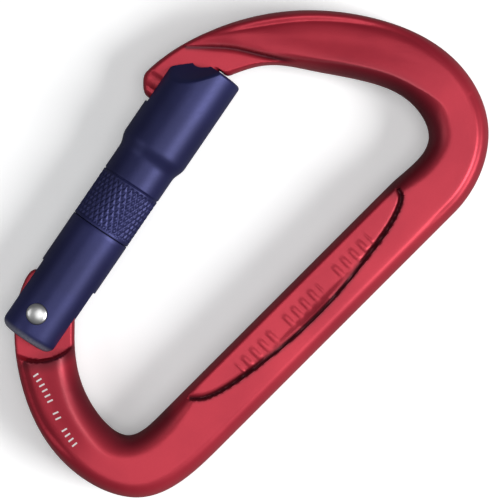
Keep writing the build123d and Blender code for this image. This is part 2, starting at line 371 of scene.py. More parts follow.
@dataclass
class Layout:
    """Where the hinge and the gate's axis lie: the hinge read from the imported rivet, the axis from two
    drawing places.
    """

    drawing_hinge: tuple[float, float] = (-40.5, 14.0)
    drawing_nose: tuple[float, float] = (8.53, 23.27)
    axis_offset: float = 0.6
    hinge: np.ndarray = field(init=False)
    along: np.ndarray = field(init=False)
    inward: np.ndarray = field(init=False)

    def __post_init__(self) -> None:
        """Finds the hinge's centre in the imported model."""
        low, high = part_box("hinge_rivet")
        self.hinge = np.array((low + high) / 2.0) / MM
        rise = self.drawing_nose[1] - self.drawing_hinge[1]
        slope = math.atan2(rise, self.drawing_nose[0] - self.drawing_hinge[0])
        self.along = np.array([math.cos(slope), math.sin(slope), 0.0])
        self.inward = np.array([math.sin(slope), -math.cos(slope), 0.0])

    def gate(self) -> GateAxes:
        """The gate's own axis; x points towards the spine and y to the back."""
        origin = self.hinge + self.axis_offset * self.inward
        return GateAxes(origin, self.inward, np.array([0.0, 0.0, -1.0]), self.along)

    def rivet(self) -> GateAxes:
        """The rivet's axis, upwards."""
        return GateAxes(self.hinge, *np.eye(3))

    def drawn(self, s: float, p: float) -> tuple[float, float]:
        """Drawing place of a point a distance s along the gate and p towards the spine from the hinge."""
        return (self.drawing_hinge[0] + s * self.along[0] + p * self.inward[0],
                self.drawing_hinge[1] + s * self.along[1] + p * self.inward[1])

    def gate_places(self, x: np.ndarray, y: np.ndarray) -> tuple[np.ndarray, np.ndarray]:
        """Distance along the gate and towards the spine of drawing places."""
        dx, dy = x - self.drawing_hinge[0], y - self.drawing_hinge[1]
        return dx * self.along[0] + dy * self.along[1], dx * self.inward[0] + dy * self.inward[1]

    def drawing_places(self, points: np.ndarray) -> tuple[np.ndarray, np.ndarray]:
        """Drawing x and y of points given in metres."""
        return (points[:, 0] / MM - self.hinge[0] + self.drawing_hinge[0],
                points[:, 1] / MM - self.hinge[1] + self.drawing_hinge[1])

    def to_metres(self, x: np.ndarray, y: np.ndarray, z: np.ndarray) -> np.ndarray:
        """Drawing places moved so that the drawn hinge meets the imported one, in metres."""
        place = [x - self.drawing_hinge[0] + self.hinge[0], y - self.drawing_hinge[1] + self.hinge[1], z]
        return np.stack(place, axis=-1) * MM


# ---------------------------------------------------------------- finishes


def socket_in(group: bpy.types.ShaderNodeTree, name: str, kind: str, default: object) -> None:
    """Adds a named input with its default to a node group."""
    made = group.interface.new_socket(name=name, in_out="INPUT", socket_type=kind)
    made.default_value = default


def satin_and_painted_light_group() -> bpy.types.ShaderNodeTree:
    """Builds the shared effect of blasted and dyed aluminium once.

    Two noises set the colour's slow drift, the roughness and a fine grain height. Where a piece marks
    wear_and_painted_light, the colour turns lighter: to the metal showing through where it is scuffed, and
    on the red bar to a lighter red, a painted highlight along the ridges. Where a piece marks painted_shade,
    the colour is darkened: painted shade in grooves and hollows and a painted dark reflection on inner sides.
    Inputs are the dye's colour, the tone of its darker patches, the grain's scale, the roughness and its
    spread, the lighter colour and how much of it, and the painted shade's colour and how much of it.

    Returns:
        The group, with outputs Colour, Roughness and Grain.
    """
    name = "satin_anodise_and_painted_light"
    if name in bpy.data.node_groups:
        return bpy.data.node_groups[name]
    group = bpy.data.node_groups.new(name, "ShaderNodeTree")
    socket_in(group, "Dye", "NodeSocketColor", (0.5, 0.5, 0.5, 1.0))
    socket_in(group, "Deep Dye", "NodeSocketColor", (0.3, 0.3, 0.3, 1.0))
    socket_in(group, "Grain Scale", "NodeSocketFloat", 2500.0)
    socket_in(group, "Roughness", "NodeSocketFloat", 0.4)
    socket_in(group, "Spread", "NodeSocketFloat", 0.1)
    # Lighter colour and amount: metal showing through where scuffed, and a painted highlight along the red
    # bar's ridges.
    socket_in(group, "Wear And Highlight Colour", "NodeSocketColor", (0.7, 0.6, 0.6, 1.0))
    socket_in(group, "Wear And Highlight", "NodeSocketFloat", 0.0)
    # Colour and amount of painted shade, darkening grooves, hollows and inner sides.
    socket_in(group, "Painted Shade Colour", "NodeSocketColor", (0.05, 0.02, 0.03, 1.0))
    socket_in(group, "Painted Shade", "NodeSocketFloat", 0.0)
    made = (("Colour", "NodeSocketColor"), ("Roughness", "NodeSocketFloat"), ("Grain", "NodeSocketFloat"))
    for out, kind in made:
        group.interface.new_socket(name=out, in_out="OUTPUT", socket_type=kind)
    nodes, links = group.nodes, group.links
    inputs = nodes.new("NodeGroupInput")
    outputs = nodes.new("NodeGroupOutput")
    place = nodes.new("ShaderNodeTexCoord")
    drift = nodes.new("ShaderNodeTexNoise")
    drift.inputs["Scale"].default_value = 60.0
    drift.inputs["Detail"].default_value = 3.0
    grain = nodes.new("ShaderNodeTexNoise")
    grain.inputs["Detail"].default_value = 4.0
    grain.inputs["Roughness"].default_value = 0.65
    links.new(place.outputs["Object"], drift.inputs["Vector"])
    links.new(place.outputs["Object"], grain.inputs["Vector"])
    links.new(inputs.outputs["Grain Scale"], grain.inputs["Scale"])
    share = nodes.new("ShaderNodeMapRange")
    share.inputs["From Min"].default_value = 0.35
    share.inputs["From Max"].default_value = 0.7
    links.new(drift.outputs["Fac"], share.inputs["Value"])
    speck = nodes.new("ShaderNodeMath")
    speck.operation = "MULTIPLY_ADD"
    speck.inputs[1].default_value = 0.35
    links.new(grain.outputs["Fac"], speck.inputs[0])
    links.new(share.outputs["Result"], speck.inputs[2])
    mix = nodes.new("ShaderNodeMix")
    mix.data_type = "RGBA"
    links.new(speck.outputs["Value"], mix.inputs["Factor"])
    links.new(inputs.outputs["Dye"], mix.inputs["A"])
    links.new(inputs.outputs["Deep Dye"], mix.inputs["B"])
    # Lighter colour mixed in by the marked amount and the grain: scuffed metal, and a painted highlight on
    # the red bar's ridges.
    wear_and_highlight_grain = nodes.new("ShaderNodeMath")
    wear_and_highlight_grain.operation = "MULTIPLY"
    links.new(inputs.outputs["Wear And Highlight"], wear_and_highlight_grain.inputs[0])
    links.new(grain.outputs["Fac"], wear_and_highlight_grain.inputs[1])
    wear_and_highlight_mix = nodes.new("ShaderNodeMix")
    wear_and_highlight_mix.data_type = "RGBA"
    links.new(wear_and_highlight_grain.outputs["Value"], wear_and_highlight_mix.inputs["Factor"])
    links.new(mix.outputs["Result"], wear_and_highlight_mix.inputs["A"])
    links.new(inputs.outputs["Wear And Highlight Colour"], wear_and_highlight_mix.inputs["B"])
    # Painted shade: the colour is darkened towards the painted shade colour by the marked amount.
    painted_shade_mix = nodes.new("ShaderNodeMix")
    painted_shade_mix.data_type = "RGBA"
    links.new(inputs.outputs["Painted Shade"], painted_shade_mix.inputs["Factor"])
    links.new(wear_and_highlight_mix.outputs["Result"], painted_shade_mix.inputs["A"])
    links.new(inputs.outputs["Painted Shade Colour"], painted_shade_mix.inputs["B"])
    links.new(painted_shade_mix.outputs["Result"], outputs.inputs["Colour"])
    centred = nodes.new("ShaderNodeMath")
    centred.operation = "SUBTRACT"
    centred.inputs[1].default_value = 0.5
    links.new(grain.outputs["Fac"], centred.inputs[0])
    rough = nodes.new("ShaderNodeMath")
    rough.operation = "MULTIPLY_ADD"
    links.new(centred.outputs["Value"], rough.inputs[0])
    links.new(inputs.outputs["Spread"], rough.inputs[1])
    links.new(inputs.outputs["Roughness"], rough.inputs[2])
    links.new(rough.outputs["Value"], outputs.inputs["Roughness"])
    links.new(grain.outputs["Fac"], outputs.inputs["Grain"])
    return group


@dataclass(frozen=True)
class AnodisedFinish:
    """Dyed, satin aluminium or a plain metal or polymer with the same fine grain; sizes are in metres."""

    name: str
    dye: tuple[float, float, float]
    deep_dye: tuple[float, float, float]
    metallic: float = 0.75
    roughness: float = 0.4
    spread: float = 0.12
    grain_scale: float = 2600.0
    grain_height: float = 0.00002
    coat: float = 0.0
    # Lighter colour where a piece is marked: metal showing through on scuffed corners, and by default a
    # lighter red, a painted highlight on the red bar's ridges.
    wear_and_highlight_colour: tuple[float, float, float] = (0.8, 0.22, 0.25)
    # Colour of the painted shade in grooves, hollows and on inner sides.
    shade: tuple[float, float, float] = (0.04, 0.008, 0.015)

    def material(self) -> bpy.types.Material:
        """Builds the material, or finds the one already built.

        Returns:
            The material.
        """
        if self.name in bpy.data.materials:
            return bpy.data.materials[self.name]
        made = bpy.data.materials.new(self.name)
        made.use_nodes = True
        nodes, links = made.node_tree.nodes, made.node_tree.links
        shader = nodes["Principled BSDF"]
        shader.inputs["Metallic"].default_value = self.metallic
        shader.inputs["Coat Weight"].default_value = self.coat
        shader.inputs["Coat Roughness"].default_value = 0.3
        effect = nodes.new("ShaderNodeGroup")
        effect.node_tree = satin_and_painted_light_group()
        effect.inputs["Dye"].default_value = (*self.dye, 1.0)
        effect.inputs["Deep Dye"].default_value = (*self.deep_dye, 1.0)
        effect.inputs["Grain Scale"].default_value = self.grain_scale
        effect.inputs["Roughness"].default_value = self.roughness
        effect.inputs["Spread"].default_value = self.spread
        effect.inputs["Wear And Highlight Colour"].default_value = (*self.wear_and_highlight_colour, 1.0)
        effect.inputs["Painted Shade Colour"].default_value = (*self.shade, 1.0)
        # Reads the marked amounts of the lighter colour, scuffing with a painted highlight, and of the
        # painted shade.
        for name, socket in (("wear_and_painted_light", "Wear And Highlight"), ("painted_shade", "Painted Shade")):
            amount = nodes.new("ShaderNodeAttribute")
            amount.attribute_name = name
            links.new(amount.outputs["Fac"], effect.inputs[socket])
        bump = nodes.new("ShaderNodeBump")
        bump.inputs["Strength"].default_value = 0.6
        bump.inputs["Distance"].default_value = self.grain_height
        links.new(effect.outputs["Colour"], shader.inputs["Base Color"])
        links.new(effect.outputs["Roughness"], shader.inputs["Roughness"])
        links.new(effect.outputs["Grain"], bump.inputs["Height"])
        links.new(bump.outputs["Normal"], shader.inputs["Normal"])
        return made


class Finish(Enum):
    """The finishes of the carabiner and its floor."""

    # The red bar keeps the default lighter red, a painted highlight on its ridges, and the default dark
    # painted shade colour.
    RED = AnodisedFinish("red_anodised_forging", (0.50, 0.030, 0.052), (0.40, 0.020, 0.040), 0.5, 0.42)
    BLUE = AnodisedFinish("blue_anodised_turning", (0.027, 0.030, 0.125), (0.018, 0.020, 0.085), 0.55, 0.46,
                          wear_and_highlight_colour=(0.6, 0.6, 0.68), shade=(0.01, 0.01, 0.03))
    RIVET = AnodisedFinish("rivet_steel", (0.70, 0.70, 0.69), (0.50, 0.50, 0.50), 0.9, 0.34,
                           spread=0.1, grain_scale=1800.0, grain_height=0.000006)
    WIRE = AnodisedFinish("spring_wire", (0.55, 0.55, 0.58), (0.4, 0.4, 0.42), 1.0, 0.3)
    BRASS = AnodisedFinish("pusher_brass", (0.72, 0.5, 0.22), (0.6, 0.4, 0.16), 1.0, 0.3)
    WASHER = AnodisedFinish("washer_polymer", (0.03, 0.03, 0.033), (0.02, 0.02, 0.02), 0.0, 0.55)
    ETCH = AnodisedFinish("laser_etch", (0.85, 0.8, 0.8), (0.7, 0.62, 0.62), 0.1, 0.6)
    FLOOR = AnodisedFinish("pale_floor", (0.93, 0.93, 0.93), (0.9, 0.9, 0.9), 0.0, 0.75,
                           spread=0.05, grain_scale=60.0, grain_height=0.00001)

    def dress(self, piece: bpy.types.Object) -> None:
        """Gives every slot of a piece this finish."""
        piece.data.materials.clear()
        piece.data.materials.append(self.value.material())


# ---------------------------------------------------------------- the forged bar


@dataclass
class ForgedBar:
    """Bar bent into an offset D: nose plate, bow, spine, lower bow and hinge tang.

    Ridges, grooves and outlines are curves through points of the drawing, whose hinge the layout places.
    """

    layout: Layout
    half_thickness: float = 5.75
    spine_outer: float = -32.3
    spine_inner: float = -18.7
    inner_round: float = 4.6
    spine_round: float = 2.7
    outer_round: float = 3.6
    nose_level: float = 2.75
    nose_foot: float = 49.9
    nose_reach: float = 2.2
    nose_round: float = 1.1
    sleeve_end: float = 62.3
    stop_gap: float = 0.5
    neck_centre: float = 53.35
    neck_half: float = 1.6
    neck_depth: float = 0.5
    tang_level: float = 2.2
    tang_end: float = 7.3
    hinge_flat_radius: float = 9.5
    crease: float = 0.22
    head_web_depth: float = 1.35
    tail_web_depth: float = 1.05
    pad_level: float = 4.8
    pad_straight: float = -25.3
    rib_pitch: float = 2.4
    rib_half: float = 0.55
    rib_height: float = 0.15
    columns: int = 50
    station_step: float = 0.33
    spine_step: float = 0.23
    head_ridge: tuple[tuple[float, float], ...] = (
        (20.6, 31.4), (26.8, 24.9), (30.3, 19.4), (37.8, 8.9), (45.2, -1.8), (48.3, -10.8), (48.3, -16.1),
        (45.8, -19.8))
    head_groove: tuple[tuple[float, float], ...] = (
        (25.5, 29.4), (40.9, 18.1), (49.5, 8.4), (53.6, 1.2), (55.0, -8.0), (52.8, -17.5), (47.0, -25.4))
    tail_ridge: tuple[tuple[float, float], ...] = (
        (-48.5, -22.5), (-50.8, -18.2), (-51.3, -14.3), (-50.8, -9.9), (-49.6, -5.2), (-47.4, -0.6),
        (-44.0, 3.8), (-40.6, 6.6))
    tail_groove: tuple[tuple[float, float], ...] = (
        (-53.5, -20.5), (-56.2, -15.0), (-56.4, -9.6), (-56.0, -4.3), (-53.3, 3.3), (-49.6, 9.4),
        (-46.0, 13.6))
    pad_edge: tuple[tuple[float, float], ...] = (
        (-31.2, -20.6), (-29.6, -22.25), (-23.8, -24.75), (-16.8, -26.05), (-9.3, -26.95), (0.2, -27.4),
        (8.3, -27.05), (16.8, -26.1), (23.2, -25.1), (28.0, -23.6), (30.3, -21.9), (30.9, -20.4))

    def outer_line(self) -> np.ndarray:
        """Draws the outer outline from the foot of the nose to the tang.

        Returns:
            Samples as an (n, 2) array.
        """
        at = self.layout.drawn
        inward = self.layout.inward[:2]
        nose = smooth_curve([at(self.nose_foot, -6.3), at(50.15, -7.7), at(51.3, -8.9), (10.8, 33.87)],
                            tuple(-inward), (1.0, 0.0), 0.03)
        head = smooth_curve([(10.8, 33.87), (23.2, 31.6), (38.2, 23.8), (51.5, 9.4), (58.0, -10.7),
                             (53.0, -24.7), (35.5, self.spine_outer)], (1, 0), (-1, 0))
        tail = smooth_curve([(-33.0, self.spine_outer), (-52.3, -28.4), (-58.9, -13.0), (-52.7, 7.8),
                             (-41.1, 19.6), (-36.2, 21.5)], (-1, 0), (1, 0.15))
        heel = smooth_curve([(-36.2, 21.5), at(self.tang_end, -5.4)], (1, 0.15), tuple(inward), 0.05)
        return np.concatenate([nose, head[1:], tail, heel[1:]])

    def inner_line(self) -> np.ndarray:
        """Draws the inner outline from the foot of the nose to the tang, past the step at the sleeve's end.

        Returns:
            Samples as an (n, 2) array.
        """
        at = self.layout.drawn
        along = tuple(self.layout.along[:2])
        inward = self.layout.inward[:2]
        reach, end, stop = self.nose_reach, self.sleeve_end, self.sleeve_end + self.stop_gap
        plate = smooth_curve([at(self.nose_foot, reach), at(end, reach)], along, along)
        step = smooth_curve([at(end, reach), at(stop, reach + 0.3), at(stop, 4.0)], along, tuple(inward),
                            0.05)
        shoulder = smooth_curve([at(stop, 4.0), at(stop + 0.4, 4.75), (23.7, 20.5)], tuple(inward),
                                (1.0, -0.45), 0.05)
        head = smooth_curve([(23.7, 20.5), (29.5, 17.1), (35.2, 9.8), (41.6, 0.2), (45.2, -11.1),
                             (42.7, -17.5), (30.0, self.spine_inner)], (1.0, -0.45), (-1, 0))
        tail = smooth_curve([(-37.0, self.spine_inner), (-45.3, -17.2), (-46.5, -7.9), (-42.2, 1.6),
                             (-35.7, 8.5)], (-1, 0), (1, 0.95))
        tang = smooth_curve([(-35.7, 8.5), at(self.tang_end, 2.0)], (1, 0.95), tuple(-inward), 0.05)
        return np.concatenate([plate, step[1:], shoulder[1:], head[1:], tail, tang[1:]])

    def stations(self) -> tuple[np.ndarray, np.ndarray]:
        """Matching places on the inner and outer outlines, one pair for each cross-section.

        A few pairs of places across the bar are matched, and the cross-sections between two such pairs
        divide both outlines evenly.

        Returns:
            Inner and outer places as (n, 2) arrays.
        """
        at = self.layout.drawn
        spine = 9  # the pair where the spine starts
        reach, end = self.nose_reach, self.sleeve_end - 0.1
        pairs = [(at(self.nose_foot, -6.3), at(self.nose_foot, reach)), ((10.8, 33.87), at(54.3, reach)),
                 ((20.2, 32.5), at(end, reach)), ((24.2, 31.3), (23.7, 20.5)), ((30.5, 28.7), (29.5, 17.1)),
                 ((38.2, 23.8), (33.2, 12.7)), ((51.5, 9.4), (40.4, 2.4)), ((58.0, -9.7), (45.0, -9.9)),
                 ((53.0, -24.7), (42.7, -17.5)), ((36.0, self.spine_outer), (32.0, self.spine_inner)),
                 ((-33.0, self.spine_outer), (-33.0, self.spine_inner)), ((-52.3, -28.4), (-45.3, -17.2)),
                 ((-58.9, -12.0), (-46.9, -10.5)), ((-55.2, 3.0), (-43.9, -1.0)),
                 ((-49.3, 12.0), (-40.2, 4.2)), ((-41.1, 19.6), (-36.1, 8.2)),
                 (at(self.tang_end, -5.4), at(self.tang_end, 2.0))]
        lines = self.outer_line(), self.inner_line()
        lengths = [arc_lengths(line) for line in lines]
        marks = []
        for line, length, side in zip(lines, lengths, (0, 1)):
            wanted = np.array([pair[side] for pair in pairs])
            nearest = np.argmin(np.linalg.norm(line[None] - wanted[:, None], axis=2), axis=1)
            marks.append(length[nearest])
        gaps = np.maximum(np.diff(marks[0]), np.diff(marks[1]))
        steps = np.full(len(gaps), self.station_step)
        steps[spine] = self.spine_step
        steps[0] = steps[-1] = self.spine_step / 2
        counts = np.ceil(gaps / steps).astype(int)
        knots = np.concatenate([[0], np.cumsum(counts)])
        station = np.arange(knots[-1] + 1)
        sides = []
        for line, length, mark in zip(lines, lengths, marks):
            where = np.interp(station, knots, mark)
            sides.append(np.stack([np.interp(where, length, line[:, k]) for k in (0, 1)], axis=1))
        return sides[1], sides[0]

    def shares(self, inner: np.ndarray, outer: np.ndarray) -> np.ndarray:
        """Shares of the way across for every cross-section, crowded along the ridges and the pad's groove.

        Args:
            inner: Inner places.
            outer: Outer places.

        Returns:
            (stations, columns + 1) array from 0 at the inner edge to 1 at the outer edge.
        """
        even = 0.5 * (1.0 - np.cos(np.linspace(0.0, np.pi, self.columns + 1)))[None, :]
        share = np.repeat(even, len(inner), axis=0)
        probe = np.linspace(0.03, 0.97, 320)
        across = inner[:, None] + probe[None, :, None] * (outer - inner)[:, None]
        x, y = across[..., 0], across[..., 1]
        for line in (self.curve(self.head_ridge), self.curve(self.tail_ridge)):
            far, _ = beside(x, y, line)
            share = self.crowd(share, probe, far, 0.72)
        far, _ = beside(x, y, self.curve(self.head_groove))
        share = self.crowd(share, probe, far, 0.5)
        far, at = beside(x, y, self.curve(self.pad_edge))
        far = np.where((at > 0.03) & (at < 0.97), far, 9.0)
        return self.crowd(share, probe, far - 0.25, 0.82)

    def crowd(self, share: np.ndarray, probe: np.ndarray, far: np.ndarray, pull: float) -> np.ndarray:
        """Draws the lines of each cross-section to where a crease crosses it, if it does.

        Args:
            share: Shares of the way across.
            probe: Shares at which the distance to the crease is known.
            far: That distance, a row for each cross-section.
            pull: How strongly the lines are drawn, below 1.

        Returns:
            The new shares.
        """
        least = np.argmin(np.abs(far), axis=1)
        miss = np.abs(far[np.arange(len(far)), least])
        strength = pull * (1.0 - ease(miss, 0.1, 1.5))
        return draw_towards(share, probe[least], strength, 0.16)

    def curve(self, points: tuple[tuple[float, float], ...]) -> np.ndarray:
        """Smooth curve through a ridge's or groove's points, which starts and ends along its end chords."""
        p = np.array(points)
        return smooth_curve(list(points), tuple(p[1] - p[0]), tuple(p[-1] - p[-2]), 0.25)

    def height(self, x: np.ndarray, y: np.ndarray, inside: np.ndarray, outside: np.ndarray) -> np.ndarray:
        """Half thickness of the bar over a place in its outline.

        The bar is a rounded strip: its inner side rises along a quarter ellipse to the ridge, where it
        meets the web at an angle, and its outer side is a quarter ellipse too. The web sinks from the ridge
        to a groove beside the outer rim. The pad, the nose plate and the tang cut the bar at a level.

        Args:
            x: Drawing x.
            y: Drawing y.
            inside: Distance from the inner edge.
            outside: Distance from the outer edge.

        Returns:
            Height above the mid-plane.
        """
        s, _ = self.layout.gate_places(x, y)
        head_far, head_at = beside(x, y, self.curve(self.head_ridge))
        head_back, _ = beside(x, y, self.curve(self.head_groove))
        tail_far, tail_at = beside(x, y, self.curve(self.tail_ridge))
        tail_back, _ = beside(x, y, self.curve(self.tail_groove))

        on_head = (x > 15) * ease(head_at, 0.20, 0.30) * (1.0 - ease(head_at, 0.80, 1.0))
        on_tail = (x < -38) * ease(tail_at, 0.0, 0.3)
        on_spine = (1.0 - ease(np.abs(x), 27.0, 38.0)) * (y < -10)
        reach = self.inner_round - on_spine * (self.inner_round - self.spine_round)
        reach = reach + on_head * (np.clip(inside - head_far, 2.4, 5.2) - self.inner_round)
        reach = reach + on_tail * (np.clip(inside - tail_far, 3.4, 5.6) - self.inner_round)
        inner_share = np.clip(inside / reach, 0.0, 1.0)
        bevel = 1.0 - self.crease * (1.0 - inner_share) * np.maximum(on_head, on_tail * 0.5)
        full = self.half_thickness * round_over(inside, reach) * bevel * round_over(outside, self.outer_round)

        head_web = (x > 15) * ease(head_at, 0.0, 0.22) * (1.0 - ease(head_at, 0.55, 0.9))
        full = full - self.head_web_depth * head_web * self.web(head_far, -head_back)
        tail_web = (x < -38) * ease(tail_at, 0.22, 0.5)
        full = full - self.tail_web_depth * tail_web * self.web(tail_far, -tail_back)

        edge_line = (x > 26) * (y < -17) * (1.0 - ease(-x, -34.0, -28.0))
        full = full - 0.16 * edge_line * np.exp(-(((outside - 2.2) / 0.4) ** 2))
        full = self.with_nose(full, s, outside, head_far, head_at, (x > 0) & (y > -2))
        full = self.with_tang(full, x, y, s, inside, outside)
        return self.with_pad(full, x, y)

    def web(self, past_ridge: np.ndarray, before_groove: np.ndarray) -> np.ndarray:
        """Depth of the web as a share: it sinks slowly from the ridge and comes back up past the groove.

        Args:
            past_ridge: Distance from the ridge towards the rim.
            before_groove: Distance still to go to the groove.

        Returns:
            The share, 0 at the ridge and 1 at the groove.
        """
        span = np.maximum(past_ridge + before_groove, 0.5)
        across = np.clip(past_ridge / span, 0.0, 1.0)
        sunk = 0.4 * ease(across, 0.0, 0.6) + 0.6 * across**3.5
        return np.where(past_ridge > 0, sunk, 0.0) * ease(before_groove, -1.5, 0.3)

    def with_nose(self, full: np.ndarray, s: np.ndarray, outside: np.ndarray, past: np.ndarray,
                  at: np.ndarray, near: np.ndarray) -> np.ndarray:
        """Cuts the nose down to its flat plate with the key groove, up to the start of the ridge.

        Args:
            full: Heights so far.
            s: Distance along the gate.
            outside: Distance from the outer edge.
            past: Distance past the ridge, positive on the thick side.
            at: Share of the way along the ridge.
            near: Whether the place is on the nose end.

        Returns:
            The new heights.
        """
        rising = self.nose_level + (self.half_thickness + 1.5 - self.nose_level) * ease(s, 61.5, 81.5)
        thick = np.where(near, soft_min(full, rising, 1.5), full)
        edges = round_over(outside, self.nose_round) * round_over(s - self.nose_foot, self.nose_round)
        across_neck = (s - self.neck_centre) / self.neck_half
        neck = self.neck_depth * np.clip(1.0 - across_neck**2, 0.0, 1.0) ** 0.75
        plate = self.nose_level * edges - neck * ease(outside, 0.0, 0.6) * (s < 60)
        plate = plate - 0.4 * np.exp(-(((past + 0.45) / 0.4) ** 2)) * ease(at, 0.0, 0.15)
        step = np.maximum(ease(past, -0.16, 0.16), ease(at, 0.27, 0.40))
        return np.where(near, np.minimum(plate * (1.0 - step) + thick * step, thick), full)

    def with_tang(self, full: np.ndarray, x: np.ndarray, y: np.ndarray, s: np.ndarray,
                  inside: np.ndarray, outside: np.ndarray) -> np.ndarray:
        """Cuts the hinge end down to its tang, round the sweep of the gate's ears.

        Args:
            full: Heights so far.
            x: Drawing x.
            y: Drawing y.
            s: Distance along the gate.
            inside: Distance from the inner edge.
            outside: Distance from the outer edge.

        Returns:
            The new heights.
        """
        from_hinge = np.hypot(x - self.layout.drawing_hinge[0], y - self.layout.drawing_hinge[1])
        heel = (s > -1.5) & (x < -20)
        reach = np.where(heel, np.minimum(from_hinge, self.hinge_flat_radius - 0.5), from_hinge)
        lift = ease(reach, self.hinge_flat_radius - 0.05, self.hinge_flat_radius + 0.75)
        edges = round_over(self.tang_end - s, 0.5) * round_over(outside, 0.7) * round_over(inside, 0.7)
        tang = self.tang_level * edges
        flats = tang + (np.maximum(full, tang) - tang) * lift
        return np.where((x < -25) & (y > -3), np.minimum(full, flats), full)

    def with_pad(self, full: np.ndarray, x: np.ndarray, y: np.ndarray) -> np.ndarray:
        """Sinks the lens-shaped pad beside the spine's inner edge and raises plain ribs on it.

        Args:
            full: Heights so far.
            x: Drawing x.
            y: Drawing y.

        Returns:
            The new heights.
        """
        beyond, at = beside(x, y, self.curve(self.pad_edge))
        wall = ease(beyond, -0.3, 0.45)
        middle = 1.0 - ease(np.abs(x), 13.0, 18.0)
        bank = 0.62 * ease(self.pad_straight - y, 0.0, 0.9) * middle
        trench = 0.62 * np.exp(-(((beyond - 0.55) / 0.5) ** 2))
        column = np.abs((x + 0.5 * self.rib_pitch) % self.rib_pitch - 0.5 * self.rib_pitch)
        rib = (1.0 - ease(column, self.rib_half - 0.3, self.rib_half + 0.2)) * (np.abs(x) < 19)
        words = (np.abs(x - 6.2) > 1.6) & (np.abs(x + 7.0) > 1.6)
        band = ease(y, self.pad_straight + 0.1, self.pad_straight + 0.7) * (1.0 - ease(y, -22.6, -21.9))
        pad = self.pad_level + bank - trench + self.rib_height * rib * words * band
        sunk = soft_min(full, pad * wall + (1.0 - wall) * (self.half_thickness + 2.0), 0.3)
        near = (np.abs(x) < 33) & (y < -15) & (beyond > -0.3) & (at > 0.0) & (at < 1.0)
        return np.where(near, np.minimum(full, sunk), full)

    def build(self) -> bpy.types.Object:
        """Makes the bar as rings of points across it, one ring at each cross-section.

        Returns:
            The bar.
        """
        inner, outer = self.stations()
        width = np.linalg.norm(outer - inner, axis=1)[:, None]
        share = self.shares(inner, outer)
        place = inner[:, None, :] + share[..., None] * (outer - inner)[:, None, :]
        x, y = place[..., 0], place[..., 1]
        z = self.height(x, y, share * width, (1.0 - share) * width)
        z[:, [0, -1]] = 0.0
        top = self.layout.to_metres(x, y, z)
        under = self.layout.to_metres(x, y, -z)[:, -2:0:-1]
        rings = np.concatenate([top, under], axis=1)
        faces = grid_faces(rings.shape[0], rings.shape[1], False, True)
        piece = make_piece("forged_bar", rings.reshape(-1, 3), faces, 2e-6)
        smooth_shade(piece, 50.0)
        self.wear_and_painted_light(piece)
        Finish.RED.dress(piece)
        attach(piece, "frame")
        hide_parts("body")
        return piece

    def wear_and_painted_light(self, piece: bpy.types.Object) -> None:
        """Marks scuffing and a painted highlight on the ridges, and painted shade in grooves, hollows and on
        the inner sides.

        Args:
            piece: The bar.
        """
        points = places_of(piece)
        x, y = self.layout.drawing_places(points)
        z = np.abs(points[:, 2]) / MM
        head_far, head_at = beside(x, y, self.curve(self.head_ridge))
        tail_far, tail_at = beside(x, y, self.curve(self.tail_ridge))
        pad_far, pad_at = beside(x, y, self.curve(self.pad_edge))
        # Lighter line along the ridge crests: scuffing there, and a painted highlight of the crests.
        ridge_wear_and_highlight = np.exp(-(((head_far - 0.25) / 0.22) ** 2)) * (1.0 - ease(head_at, 0.7, 1.0)) * 0.5
        ridge_wear_and_highlight = np.maximum(ridge_wear_and_highlight, 0.5 * np.exp(-((tail_far / 0.5) ** 2)) * ease(tail_at, 0.1, 0.5))
        high = ease(z, self.nose_level + 0.3, self.nose_level + 0.8)
        mark(piece, "wear_and_painted_light", ridge_wear_and_highlight * high * 0.7)
        # Painted shade in the pad's groove, in the trench under the nose's crest and in the hollow below the
        # hinge step.
        groove = np.exp(-(((pad_far - 0.45) / 0.55) ** 2)) * (pad_at > 0.0) * (pad_at < 1.0) * (y < -15)
        under = np.exp(-(((head_far + 0.4) / 0.42) ** 2)) * (1.0 - ease(head_at, 0.3, 0.42)) * (x > 15)
        from_hinge = np.hypot(x - self.layout.drawing_hinge[0], y - self.layout.drawing_hinge[1])
        past_flat = from_hinge - self.hinge_flat_radius
        scoop = (1.0 - ease(past_flat, 0.5, 3.4)) * ease(past_flat, -0.2, 0.3) * (x < -36) * (y < 9)
        # Painted dark reflection along the inner sides, left off where the nose's inner side is lit and next
        # to the hinge.
        from_inner, _ = beside(x, y, self.inner_line()[::8])
        lit = (y > 0) * (x > 0) * (1.0 - ease(x, 30.0, 41.0))
        by_hinge = (x < -25) * ease(y, -4.0, 4.0)
        inner = (1.0 - ease(np.abs(from_inner), 0.4, 4.4)) * (1.0 - lit) * (1.0 - by_hinge)
        painted_shade_amount = np.maximum.reduce([0.9 * groove, 0.9 * under * (z < 4.2), 0.65 * scoop, 0.6 * inner])
        mark(piece, "painted_shade", painted_shade_amount * (z > 0.05))


